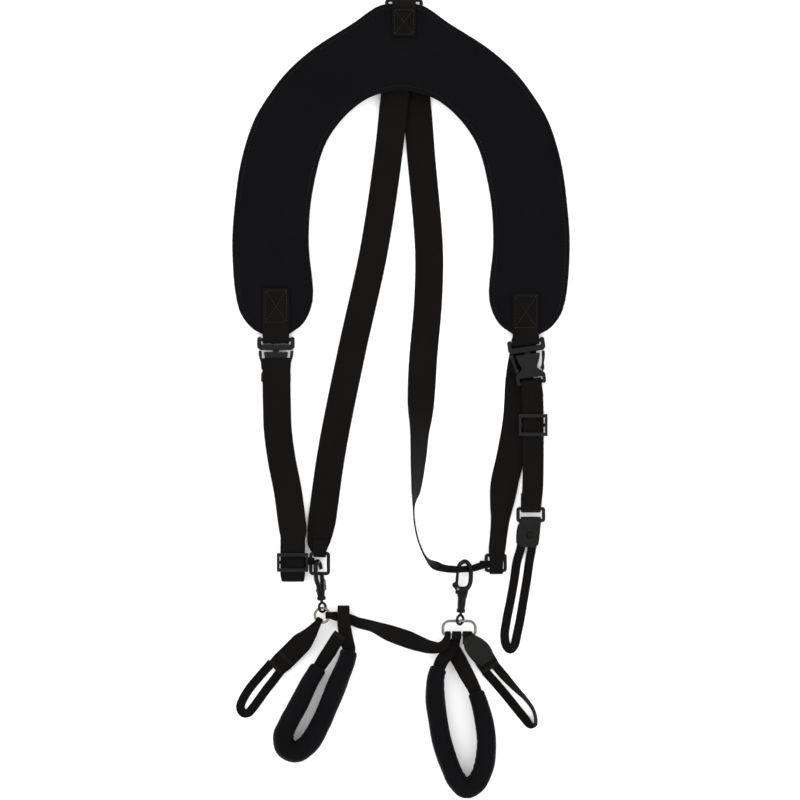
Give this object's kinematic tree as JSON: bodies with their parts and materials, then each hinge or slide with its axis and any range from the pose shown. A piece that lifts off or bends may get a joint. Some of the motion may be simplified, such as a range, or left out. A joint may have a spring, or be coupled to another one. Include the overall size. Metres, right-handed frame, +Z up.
{
  "type": "two-shoulder instrument harness",
  "caption": "Padded neoprene yoke with woven back and front straps, quick-release buckles, snap hooks and padded instrument loops, lying flat.",
  "frame": {"origin": "middle of the bounding box in plan, on the surface the harness lies on", "axes": "+Y from the instrument loops to the nape, +Z up from the surface, +X across the yoke"},
  "size_m": [0.3058, 0.7252, 0.0262],
  "materials": {
    "neoprene": "fine black knit laminated on foam, matt",
    "lining": "soft brushed black lining",
    "webbing": "ribbed black woven webbing",
    "thin_web": "thin flat black braid",
    "plastic": "moulded black acetal, satin",
    "leather": "grained black leather",
    "nickel": "bright nickel plate",
    "dark_steel": "black nickel plate, glossy"
  },
  "bodies": {
    "harness": {"yoke_pad": "neoprene", "yoke_lining": "lining", "nape_tab": "webbing", "left_end_tab": "webbing", "right_end_tab": "webbing", "left_buckle_male": "plastic", "right_buckle_male": "plastic", "back_strap": "webbing", "lower_left_ring": "plastic", "lower_right_link": "plastic", "left_front_strap": "webbing", "lower_left_link": "webbing", "right_front_strap": "webbing", "left_hook_eye": "dark_steel", "right_hook_eye": "dark_steel", "left_ring": "nickel", "right_ring": "nickel", "connector_web": "webbing"},
    "nape_ring": {"nape_ring": "plastic"},
    "left_arm_l": {"left_buckle_arm_l": "plastic"},
    "left_arm_r": {"left_buckle_arm_r": "plastic"},
    "left_female": {"left_buckle_female": "plastic"},
    "right_arm_l": {"right_buckle_arm_l": "plastic"},
    "right_arm_r": {"right_buckle_arm_r": "plastic"},
    "right_female": {"right_buckle_female": "plastic"},
    "front_glide": {"lower_left_glide": "plastic"},
    "accessory": {"accessory_strap": "webbing"},
    "accessory_glide": {"accessory_glide": "plastic"},
    "loop_drop": {"loop_ring": "plastic", "loop_tab": "leather", "loop_tab_rivet": "dark_steel", "accessory_loop": "thin_web"},
    "left_hook": {"left_hook": "dark_steel", "left_hook_rivet": "nickel"},
    "left_gate": {"left_hook_gate": "dark_steel"},
    "right_hook": {"right_hook": "dark_steel", "right_hook_rivet": "nickel"},
    "right_gate": {"right_hook_gate": "dark_steel"},
    "left_small_loop": {"left_loop_tab": "webbing", "left_instrument_loop": "thin_web"},
    "right_small_loop": {"right_loop_tab": "webbing", "right_loop_patch": "leather", "right_instrument_loop": "thin_web"},
    "left_padded_loop": {"left_loop_web": "webbing", "left_loop_sleeve": "neoprene"},
    "right_padded_loop": {"right_loop_web": "webbing", "right_loop_sleeve": "neoprene"}
  },
  "joints": [
    {"name": "left_buckle_release", "type": "slide", "parent": "harness", "child": "left_female", "axis": [0, -1, 0], "range_m": [0, 0.02], "deforming": ["left_front_strap", "left_buckle_arm_l", "left_buckle_arm_r"]},
    {"name": "left_arm_l_squeeze", "type": "hinge", "parent": "harness", "child": "left_arm_l", "pos_m": [-0.1276, 0.0412, 0.0066], "axis": [0, 0, 1], "range_deg": [0, 8], "stiffness_Nm_per_rad": 0.4},
    {"name": "left_arm_r_squeeze", "type": "hinge", "parent": "harness", "child": "left_arm_r", "pos_m": [-0.0988, 0.0412, 0.0066], "axis": [0, 0, -1], "range_deg": [0, 8], "stiffness_Nm_per_rad": 0.4},
    {"name": "right_buckle_release", "type": "slide", "parent": "harness", "child": "right_female", "axis": [0.1392, -0.9903, 0], "range_m": [0, 0.02], "deforming": ["right_buckle_arm_l", "right_buckle_arm_r"]},
    {"name": "right_arm_l_squeeze", "type": "hinge", "parent": "harness", "child": "right_arm_l", "pos_m": [0.1001, 0.03729, 0.0066], "axis": [0, 0, 1], "range_deg": [0, 8], "stiffness_Nm_per_rad": 0.4},
    {"name": "right_arm_r_squeeze", "type": "hinge", "parent": "harness", "child": "right_arm_r", "pos_m": [0.12862, 0.0413, 0.0066], "axis": [0, 0, -1], "range_deg": [0, 8], "stiffness_Nm_per_rad": 0.4},
    {"name": "nape_ring_turn", "type": "hinge", "parent": "harness", "child": "nape_ring", "pos_m": [0.0027, 0.3586, 0.0052], "axis": [1, 0, 0], "range_deg": [-1, 1]},
    {"name": "front_glide_slide", "type": "slide", "parent": "harness", "child": "front_glide", "axis": [0, 1, 0], "range_m": [0, 0.012]},
    {"name": "accessory_lift", "type": "hinge", "parent": "right_female", "child": "accessory", "pos_m": [0.11815, 0.01236, 0.0066], "axis": [-0.9903, -0.1392, 0], "range_deg": [0, 70]},
    {"name": "accessory_glide_slide", "type": "slide", "parent": "accessory", "child": "accessory_glide", "axis": [0, 1, 0], "range_m": [-0.03, 0.008]},
    {"name": "loop_drop_lift", "type": "hinge", "parent": "accessory", "child": "loop_drop", "pos_m": [0.1176, -0.1021, 0.005], "axis": [-1, 0, 0], "range_deg": [0, 60]},
    {"name": "left_hook_swivel", "type": "hinge", "parent": "harness", "child": "left_hook", "pos_m": [-0.0712, -0.1912, 0.0096], "axis": [-0.1045, 0.9945, 0], "range_deg": [-8, 8]},
    {"name": "right_hook_swivel", "type": "hinge", "parent": "harness", "child": "right_hook", "pos_m": [0.0535, -0.2025, 0.008], "axis": [0.0872, 0.9962, 0], "range_deg": [-6, 6]},
    {"name": "left_gate_press", "type": "hinge", "parent": "left_hook", "child": "left_gate", "pos_m": [-0.07147, -0.17152, 0.00558], "axis": [0.9085, 0.0955, 0.4067], "range_deg": [0, 5], "stiffness_Nm_per_rad": 0.05},
    {"name": "right_gate_press", "type": "hinge", "parent": "right_hook", "child": "right_gate", "pos_m": [0.05152, -0.17462, 0.008], "axis": [0, 0, -1], "range_deg": [0, 5], "stiffness_Nm_per_rad": 0.05},
    {"name": "left_small_loop_lift", "type": "hinge", "parent": "harness", "child": "left_small_loop", "pos_m": [-0.0746, -0.2042, 0.0096], "axis": [-0.8829, 0.4695, 0], "range_deg": [0, 40]},
    {"name": "right_small_loop_lift", "type": "hinge", "parent": "harness", "child": "right_small_loop", "pos_m": [0.0602, -0.216, 0.008], "axis": [-1, 0, 0], "range_deg": [0, 40]},
    {"name": "left_padded_loop_swing", "type": "hinge", "parent": "harness", "child": "left_padded_loop", "pos_m": [-0.053, -0.206, 0.003], "axis": [0, 0, 1], "range_deg": [-3, 3]},
    {"name": "right_padded_loop_swing", "type": "hinge", "parent": "harness", "child": "right_padded_loop", "pos_m": [0.0504, -0.216, 0.008], "axis": [0, 0, 1], "range_deg": [-3, 3]}
  ],
  "couplings": [
    {"joint": "left_arm_r_squeeze", "follows": "left_arm_l_squeeze", "ratio": 1},
    {"joint": "right_arm_r_squeeze", "follows": "right_arm_l_squeeze", "ratio": 1}
  ]
}
